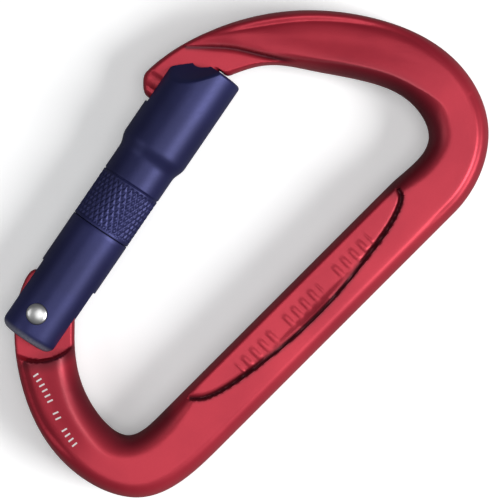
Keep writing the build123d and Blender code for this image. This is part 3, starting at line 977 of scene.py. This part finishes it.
@dataclass
class EtchedMarks:
    """Three groups of short pale strokes on the web of the lower bow, on both sides."""

    layout: Layout
    line: tuple[tuple[float, float], ...] = ((-49.6, 5.6), (-51.7, -1.6), (-53.6, -7.4), (-54.3, -12.6))
    groups: tuple[int, ...] = (6, 2, 4)
    pitch: float = 1.22
    gap: float = 1.5
    length: float = 1.25
    width: float = 0.34
    lift: float = 0.012
    depth: float = 0.03
    above: float = 9.0
    grid: tuple[int, int] = (9, 3)

    def build(self, bar: bpy.types.Object) -> bpy.types.Object:
        """Lays small grids along the line, drops them on the bar and gives them a thickness.

        Args:
            bar: The finished bar, which the strokes lie on.

        Returns:
            The strokes as one object.
        """
        curve = smooth_curve(list(self.line), (-0.2, -1.0), (-0.1, -1.0), 0.05)
        run = arc_lengths(curve)
        groups = zip(self.groups, self.starts())
        steps = np.concatenate([np.arange(count) * self.pitch + start for count, start in groups])
        way = np.gradient(curve, axis=0)
        way /= np.linalg.norm(way, axis=1)[:, None]
        centre, heading = (np.stack([np.interp(steps, run, line[:, k]) for k in (0, 1)], axis=1)
                           for line in (curve, way))
        across = np.stack([-heading[:, 1], heading[:, 0]], axis=1)
        shares = [np.linspace(-0.5, 0.5, count) for count in self.grid]
        u, v = np.meshgrid(*shares, indexing="ij")
        flat = (centre[:, None, None] + across[:, None, None] * (u * self.length)[None, ..., None]
                + heading[:, None, None] * (v * self.width)[None, ..., None])
        rows, columns = self.grid
        faces = grid_faces(rows, columns, False, False)
        sides = []
        for name, sign in (("front", 1.0), ("back", -1.0)):
            high = np.full(flat.shape[:-1], self.above * sign)
            points = self.layout.to_metres(flat[..., 0], flat[..., 1], high).reshape(-1, 3)
            strokes = (faces[None] + rows * columns * np.arange(len(steps))[:, None, None]).reshape(-1, 4)
            sides.append(self.laid(make_piece(name, points, strokes), bar, sign))
        piece = sides[0]
        work = bmesh.new()
        for side in sides:
            work.from_mesh(side.data)
        bmesh.ops.recalc_face_normals(work, faces=work.faces)
        work.to_mesh(piece.data)
        work.free()
        bpy.data.meshes.remove(sides[1].data)
        piece.name = piece.data.name = "etched_marks"
        Finish.ETCH.dress(piece)
        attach(piece, "frame")
        return piece

    def starts(self) -> list[float]:
        """Where each group of strokes starts along the line."""
        lengths = [count * self.pitch + self.gap for count in self.groups]
        return [0.3 + sum(lengths[:k]) for k in range(len(lengths))]

    def laid(self, strokes: bpy.types.Object, bar: bpy.types.Object, sign: float) -> bpy.types.Object:
        """Drops strokes on the bar along Z and thickens them into it.

        Args:
            strokes: Flat strokes above or below the bar; they are used up.
            bar: The bar.
            sign: 1 for strokes above the bar and -1 for strokes below it.

        Returns:
            The strokes as closed slivers.
        """
        drop = strokes.modifiers.new("drop", "SHRINKWRAP")
        drop.target = bar
        drop.wrap_method = "PROJECT"
        drop.use_project_z = True
        drop.use_negative_direction = sign > 0
        drop.use_positive_direction = sign < 0
        bpy.context.view_layer.update()
        done = bpy.data.meshes.new_from_object(strokes.evaluated_get(bpy.context.evaluated_depsgraph_get()))
        top = np.empty(len(done.vertices) * 3)
        done.vertices.foreach_get("co", top)
        top = top.reshape(-1, 3)
        bpy.data.meshes.remove(strokes.data)
        bpy.data.meshes.remove(done)
        shift = np.array([0.0, 0.0, sign * MM])
        rows, columns = self.grid
        around = 2 * columns
        shells = np.stack([top + self.lift * shift, top - self.depth * shift])
        shells = shells.reshape(2, -1, rows, columns, 3)
        ring = np.concatenate([shells[0], shells[1][:, :, ::-1]], axis=2)
        closed = grid_faces(rows, around, False, True)
        cap = np.array([[k, k + 1, around - k - 2, around - k - 1] for k in range(columns - 1)])
        each = np.concatenate([closed, cap, cap + (rows - 1) * around])
        faces = (each[None] + rows * around * np.arange(len(ring))[:, None, None]).reshape(-1, 4)
        return make_piece("strokes", ring.reshape(-1, 3), faces)


# ---------------------------------------------------------------- the gate and its rivet


@dataclass
class Gate:
    """Round gate base with two ears, and a forked spindle under the sleeve."""

    layout: Layout
    radius: float = 6.6
    ear_end: float = -6.0
    ear_round: float = 2.0
    slot_end: float = 9.8
    slot_half: float = 2.5
    shoulder: float = 21.5
    spindle: float = 4.5
    spindle_end: float = 60.5
    fork_foot: float = 49.1
    fork_half: float = 3.05
    fork_reach: float = 2.6
    rivet_hole: float = 1.78
    seat_radius: float = 2.25
    seat_level: float = 5.8
    bore: float = 2.08
    bore_end: float = 20.0
    groove: tuple[float, float, float] = (4.05, 35.55, 36.45)
    turns: int = 160

    def profile(self) -> np.ndarray:
        """Draws the gate's radius against distance along it, from the ears' end to the spindle's end.

        Returns:
            (n, 2) array of radii and distances.
        """
        corner = np.linspace(0.0, np.pi / 2, 12)
        flat = self.radius - self.ear_round
        ears = [np.linspace(0.0, flat, 6)[:-1], np.full(5, self.ear_end)]
        turn = [flat + self.ear_round * np.sin(corner), self.ear_end + self.ear_round * (1 - np.cos(corner))]
        rise = np.linspace(self.ear_end + self.ear_round, self.shoulder - 0.12, 30)[1:]
        low_r, low, high = self.groove
        radii = np.concatenate([ears[0], turn[0], np.full(29, self.radius),
                                [self.radius - 0.03, self.radius - 0.12],
                                [self.spindle, self.spindle, low_r, low_r, self.spindle, self.spindle],
                                [self.spindle - 0.4, 0.0]])
        places = np.concatenate([ears[1], turn[1], rise, [self.shoulder - 0.05, self.shoulder],
                                 [self.shoulder, low, low, high, high, self.spindle_end - 0.4],
                                 [self.spindle_end, self.spindle_end]])
        return np.stack([radii, places], axis=1)

    def build(self) -> bpy.types.Object:
        """Turns the gate on its axis, then cuts the hinge slot, the fork, the bore and the rivet's seats.

        Returns:
            The gate.
        """
        axes = self.layout.gate()
        piece = lathe("gate_turning", self.profile(), self.turns, axes, False)
        wide = 20.0
        slot = np.array([[-wide, -self.slot_half], [wide, -self.slot_half], [wide, self.slot_half],
                         [-wide, self.slot_half]])
        carve(piece, prism("slot_cut", slot, -wide, self.slot_end, axes))
        fork = np.array([[-wide, -self.fork_half], [self.fork_reach, -self.fork_half],
                         [self.fork_reach, self.fork_half], [-wide, self.fork_half]])
        carve(piece, prism("fork_cut", fork, self.fork_foot, self.spindle_end + 5, axes))
        ring = np.linspace(0.0, 2 * np.pi, 40, endpoint=False)
        circle = np.stack([np.cos(ring), np.sin(ring)], axis=1)
        carve(piece, prism("bore_cut", circle * self.bore, self.slot_end - 2, self.bore_end, axes))
        rivet = self.layout.rivet()
        for radius, low, high in ((self.rivet_hole, -9.0, 9.0), (self.seat_radius, self.seat_level, 9.0),
                                  (self.seat_radius, -9.0, -self.seat_level)):
            carve(piece, prism("rivet_cut", circle * radius, low, high, rivet))
        smooth_shade(piece)
        self.wear_and_painted_light(piece, axes)
        Finish.BLUE.dress(piece)
        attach(piece, "gate")
        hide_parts("gate")
        return piece

    def wear_and_painted_light(self, piece: bpy.types.Object, axes: GateAxes) -> None:
        """Marks the rubbed corner at the ends of the ears.

        Args:
            piece: The gate.
            axes: The gate's axis.
        """
        offset = places_of(piece) / MM - axes.origin
        s = offset @ axes.along
        away = np.hypot(offset @ axes.across, offset @ axes.side)
        by_end = 1.0 - ease(s, self.ear_end + 0.5, self.ear_end + 1.6)
        corner = by_end * ease(away, self.radius - 1.9, self.radius - 0.7)
        mark(piece, "wear_and_painted_light", 0.9 * corner * (np.abs(offset @ axes.side) > self.slot_half + 0.1))


@dataclass
class HingeRivet:
    """Headed rivet through the ears and the tang."""

    layout: Layout
    shank: float = 1.75
    head: float = 2.2
    seat: float = 5.8
    top: float = 6.9
    dome: float = 0.75
    turns: int = 72

    def build(self) -> bpy.types.Object:
        """Turns half a profile with a low dome, and its mirror image below the mid-plane.

        Returns:
            The rivet.
        """
        arc = np.linspace(0.0, 1.0, 14)
        dome_r = self.head * np.sin(arc * np.pi / 2)
        dome_z = self.top - self.dome * (1.0 - np.cos(arc * np.pi / 2))
        under_head = [[self.head, self.seat], [self.shank, self.seat]]
        upper = np.concatenate([np.stack([dome_r, dome_z], 1), under_head])
        lower = upper[::-1] * np.array([1.0, -1.0])
        profile = np.concatenate([upper, lower])
        piece = lathe("rivet_turning", profile, self.turns, self.layout.rivet(), False)
        smooth_shade(piece)
        Finish.RIVET.dress(piece)
        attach(piece, "gate")
        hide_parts("hinge_rivet")
        return piece


# ---------------------------------------------------------------- the locking sleeve


@dataclass
class LockSleeve:
    """Turning sleeve: knurled foot, flare, wide barrel with a nose window and a sloping facet.

    Places are distances along the gate. A room is a groove inside, as its radius and its two ends. The
    facet is a height, its slope towards the spine, its slope down to each side and how the two mix.
    """

    layout: Layout
    foot: float = 21.62
    slim: float = 6.6
    wide: float = 7.45
    flare: tuple[float, float] = (38.4, 41.7)
    end: float = 62.3
    rim: float = 0.7
    bore: float = 4.56
    chamber: float = 5.5
    chamber_end: float = 33.4
    ring_room: tuple[float, float, float] = (5.15, 35.35, 36.65)
    guide_room: tuple[float, float, float] = (5.95, 43.95, 46.05)
    knurl: tuple[float, float] = (22.2, 32.3)
    knurl_depth: float = 0.26
    knurl_count: int = 34
    knurl_pitch: float = 1.15
    groove: float = 32.9
    window_foot: float = 49.1
    window_half: float = 3.05
    twist_deg: float = 70.0
    facet: tuple[float, float, float, float] = (67.75, 0.76, 1.24, 0.045)
    turns: int = 272

    def outer_radius(self, s: np.ndarray) -> np.ndarray:
        """Radius of the smooth outside, with its flare, its groove and its rounded ends.

        Args:
            s: Distance along the gate.

        Returns:
            The radius at each distance.
        """
        flared = self.slim + (self.wide - self.slim) * ease(s, *self.flare)
        groove = 0.2 * np.exp(-((s - self.groove) / 0.16) ** 2)
        foot = 0.12 * (1.0 - round_over(s - self.foot, 0.15))
        rim = self.rim * (1.0 - round_over(self.end - s, self.rim))
        return flared - groove - foot - rim

    def knurled(self, s: np.ndarray, angle: np.ndarray) -> np.ndarray:
        """Depth of the knurl: two sets of grooves that wind opposite ways and leave small pyramids.

        Args:
            s: Distance along the gate.
            angle: Angle round it.

        Returns:
            How far the surface is sunk.
        """
        low, high = self.knurl
        inside = ease(s, low - 0.2, low + 0.3) * (1 - ease(s, high - 0.3, high + 0.2))
        turn = angle / (2 * np.pi) * self.knurl_count
        rise = s / self.knurl_pitch
        ridges = [np.abs((turn + way * rise) % 1.0 - 0.5) * 2.0 for way in (0.5, -0.5)]
        return inside * self.knurl_depth * np.clip(1.0 - 1.5 * np.minimum(*ridges), 0.0, 1.0)

    def top(self, x: np.ndarray, y: np.ndarray) -> np.ndarray:
        """Where the sleeve ends: its square end or the facet on each side, whichever is lower."""
        height, across, up, twisted = self.facet
        return np.minimum(self.end, height + across * x - (up - twisted * x) * np.abs(y))

    def build(self) -> bpy.types.Object:
        """Sweeps a closed profile round the axis, shortens its end along the facet and cuts the window.

        Returns:
            The sleeve.
        """
        axes = self.layout.gate()
        plain_low = np.linspace(self.foot, self.knurl[0] - 0.25, 5)
        knurl = np.linspace(self.knurl[0] - 0.2, self.knurl[1] + 0.2, 66)
        collar = np.linspace(self.knurl[1] + 0.25, self.groove + 0.5, 14)
        barrel = np.linspace(self.groove + 0.6, self.end - self.rim, 60)
        edge = self.end - self.rim * (1 - np.sin(np.linspace(0.1, np.pi / 2, 6)))
        outside_s = np.concatenate([plain_low, knurl, collar, barrel, edge])
        outside_r = self.outer_radius(outside_s)
        face_r = np.linspace(self.wide - self.rim - 0.15, self.bore, 8)
        ring_r, ring_low, ring_high = self.ring_room
        guide_r, guide_low, guide_high = self.guide_room
        inside = [(self.bore, self.end - 4.0), (self.bore, guide_high), (guide_r, guide_high),
                  (guide_r, guide_low), (self.bore, guide_low), (self.bore, ring_high), (ring_r, ring_high),
                  (ring_r, ring_low), (self.bore, ring_low), (self.bore, self.chamber_end),
                  (self.chamber, self.chamber_end), (self.chamber, self.foot)]
        radii = np.concatenate([outside_r, face_r, [p[0] for p in inside]])[:, None]
        places = np.concatenate([outside_s, np.full(len(face_r), self.end), [p[1] for p in inside]])[:, None]
        angle = np.linspace(0.0, 2 * np.pi, self.turns, endpoint=False)[None, :]
        depth = np.zeros((len(radii), self.turns))
        rows = slice(0, len(outside_s))
        depth[rows] = self.knurled(places[rows], angle)
        radius = radii - depth
        x, y = radius * np.cos(angle), radius * np.sin(angle)
        start = self.guide_room[2] + 0.5
        top = self.top(x, y)
        shrink = (top - start) / (self.end - start)
        s = np.where(places > start, start + (places - start) * shrink, places * np.ones_like(x))
        points = axes.place(x, y, s).reshape(-1, 3)
        piece = make_piece("lock_sleeve_turning", points, grid_faces(len(radii), self.turns, True, True))
        carve(piece, self.window(axes))
        smooth_shade(piece, 38.0)
        Finish.BLUE.dress(piece)
        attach(piece, "sleeve")
        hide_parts("lock_sleeve")
        return piece

    def window(self, axes: GateAxes) -> bpy.types.Object:
        """Cutter for the window: room for the nose at rest, at full twist and between.

        Args:
            axes: The gate's axis.

        Returns:
            The cutter.
        """
        twist = math.radians(-self.twist_deg)
        turn = np.array([[math.cos(twist), -math.sin(twist)], [math.sin(twist), math.cos(twist)]])
        far, near = 14.0, 1.5
        arc = np.radians([165.0, 145.0, 125.0])
        fan = far * np.stack([np.cos(arc), np.sin(arc)], axis=1)
        outline = np.concatenate([[[-near, -self.window_half], [-far, -self.window_half]], fan,
                                  np.array([[-far, self.window_half], [-near, self.window_half]]) @ turn.T])
        return prism("window_cut", outline, self.window_foot, self.end + 3.0, axes)


@dataclass
class ClosingSpring:
    """Compression spring behind the plunger, with close-wound ends."""

    layout: Layout
    coil: float = 1.65
    wire: float = 0.5
    turns: float = 7.5
    closed_pitch: float = 0.52
    start: float = 11.61
    end: float = 19.95
    travel: float = 1.6
    steps: int = 240
    sides: int = 12

    def build(self) -> bpy.types.Object:
        """Carries a round section along a helix, whose pitch is the wire's own at both ends.

        Returns:
            The spring, which rides on the gate.
        """
        axes = self.layout.gate()
        turn = np.linspace(0.0, self.turns, self.steps)
        opened = ease(turn, 0.7, 1.3) * (1.0 - ease(turn, self.turns - 1.3, self.turns - 0.7))
        run = np.cumsum(opened) / np.sum(opened)
        spare = self.end - self.start - self.wire - self.closed_pitch * self.turns
        centre = self.start + self.wire / 2 + self.closed_pitch * turn + spare * run
        turn, centre = np.pad(turn, 1, "edge"), np.pad(centre, 1, "edge")
        size = np.pad(np.full(self.steps, self.wire / 2), 1)
        section = np.linspace(0.0, 2 * np.pi, self.sides, endpoint=False)[None, :]
        radius = self.coil + size[:, None] * np.cos(section)
        angle = 2 * np.pi * turn[:, None]
        s = centre[:, None] + size[:, None] * np.sin(section)
        points = axes.place(radius * np.cos(angle), radius * np.sin(angle), s).reshape(-1, 3)
        piece = make_piece("closing_spring_coil", points, grid_faces(len(turn), self.sides, False, True))
        smooth_shade(piece, 50.0)
        Finish.WIRE.dress(piece)
        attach(piece, "gate")
        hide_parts("closing_spring")
        far_end = axes.place(0.0, 0.0, self.end)
        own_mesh(piece)
        return piece


# ---------------------------------------------------------------- small parts


@dataclass
class InnerParts:
    """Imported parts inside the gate, which keep their shapes and get their finishes."""

    finishes: tuple[tuple[str, Finish], ...] = (
        ("plunger", Finish.BRASS), ("sleeve_spring", Finish.WIRE), ("thrust_washer", Finish.WASHER),
        ("snap_ring", Finish.WIRE), ("guide_pin", Finish.RIVET))

    def dress(self) -> None:
        """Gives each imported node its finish."""
        for node, finish in self.finishes:
            finish.dress(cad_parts[node])


# ---------------------------------------------------------------- stage


@dataclass
class Studio:
    """White floor, soft lights and the camera straight above the object; sizes are in metres."""

    distance: float = 0.42
    view_width: float = 0.1043
    look_at: tuple[float, float] = (0.00038, -0.00846)
    roll_deg: float = -45.0
    floor_half: float = 1.5
    floor_gap: float = 0.00005
    bounce: float = 0.22
    lift: float = 0.24
    room_light: float = 0.1
    room_seen: float = 0.95

    def floor(self) -> bpy.types.Object:
        """Flat floor just under the object.

        Returns:
            The floor.
        """
        level = CAD_BOX[0][2] - self.floor_gap
        line = np.linspace(-self.floor_half, self.floor_half, 5)
        x, y = np.meshgrid(line, line, indexing="ij")
        points = np.stack([x, y, np.full_like(x, level)], axis=-1).reshape(-1, 3)
        piece = make_piece("floor", points, grid_faces(5, 5, False, False))
        if piece.data.polygons[0].normal.z < 0:
            piece.data.flip_normals()
        Finish.FLOOR.dress(piece)
        self.dim_bounce(piece.data.materials[0])
        return piece

    def dim_bounce(self, material: bpy.types.Material) -> None:
        """Keeps the floor pale to the camera and darker to the light that it throws back on the object.

        Args:
            material: The floor's material.
        """
        nodes, links = material.node_tree.nodes, material.node_tree.links
        shader = nodes["Principled BSDF"]
        pale = shader.inputs["Base Color"].links[0].from_socket
        path = nodes.new("ShaderNodeLightPath")
        mix = nodes.new("ShaderNodeMix")
        mix.data_type = "RGBA"
        mix.inputs["A"].default_value = (self.bounce, self.bounce, self.bounce, 1.0)
        links.new(path.outputs["Is Camera Ray"], mix.inputs["Factor"])
        links.new(pale, mix.inputs["B"])
        links.new(mix.outputs["Result"], shader.inputs["Base Color"])
        links.new(path.outputs["Is Camera Ray"], shader.inputs["Emission Color"])
        shader.inputs["Emission Strength"].default_value = self.lift

    def light(self, name: str, place: tuple[float, float, float], size: float, power: float) -> None:
        """Square area light aimed at the origin.

        Args:
            name: Name of the light.
            place: Where it stands.
            size: Length of its side.
            power: Its power in watts.
        """
        lamp = bpy.data.lights.new(name, "AREA")
        lamp.size = size
        lamp.energy = power
        item = bpy.data.objects.new(name, lamp)
        item.location = place
        item.rotation_euler = (-Vector(place)).to_track_quat("-Z", "Y").to_euler()
        bpy.context.scene.collection.objects.link(item)

    def room(self) -> None:
        """Makes the room pale to the camera and dim as a light."""
        world = bpy.data.worlds.new("room")
        world.use_nodes = True
        nodes, links = world.node_tree.nodes, world.node_tree.links
        nodes["Background"].inputs["Color"].default_value = (0.75, 0.78, 0.85, 1.0)
        path = nodes.new("ShaderNodeLightPath")
        level = nodes.new("ShaderNodeMapRange")
        level.inputs["To Min"].default_value = self.room_light
        level.inputs["To Max"].default_value = self.room_seen
        links.new(path.outputs["Is Camera Ray"], level.inputs["Value"])
        links.new(level.outputs["Result"], nodes["Background"].inputs["Strength"])
        bpy.context.scene.world = world

    def build(self) -> None:
        """Makes the floor, the lights, the room and the camera."""
        self.floor()
        self.light("overhead", (0.05, -0.15, 1.2), 0.7, 4.2)
        self.light("from_spine", (0.38, -0.75, 0.62), 0.45, 11.0)
        self.light("from_gate", (-0.5, 0.6, 0.7), 0.5, 1.6)
        self.room()
        scene = bpy.context.scene
        scene.view_settings.view_transform = "Standard"
        camera = bpy.data.cameras.new("camera")
        camera.sensor_width = 36.0
        camera.lens = camera.sensor_width * self.distance / self.view_width
        item = bpy.data.objects.new("camera", camera)
        item.matrix_world = (Matrix.Translation((*self.look_at, self.distance))
                             @ Matrix.Rotation(math.radians(self.roll_deg), 4, "Z"))
        scene.collection.objects.link(item)
        scene.camera = item


def main() -> None:
    """Builds every piece in order and reports it."""
    logging.basicConfig(level=logging.INFO, format="%(message)s")
    layout = Layout()
    Studio().build()
    bar = ForgedBar(layout).build()
    pieces = [bar, EtchedMarks(layout).build(bar)]
    makers = Gate(layout), HingeRivet(layout), LockSleeve(layout), ClosingSpring(layout)
    pieces += [maker.build() for maker in makers]
    for piece in pieces:
        log.info("%s: %d faces", piece.name, len(piece.data.polygons))
    InnerParts().dress()


if __name__ == "__main__":
    main()
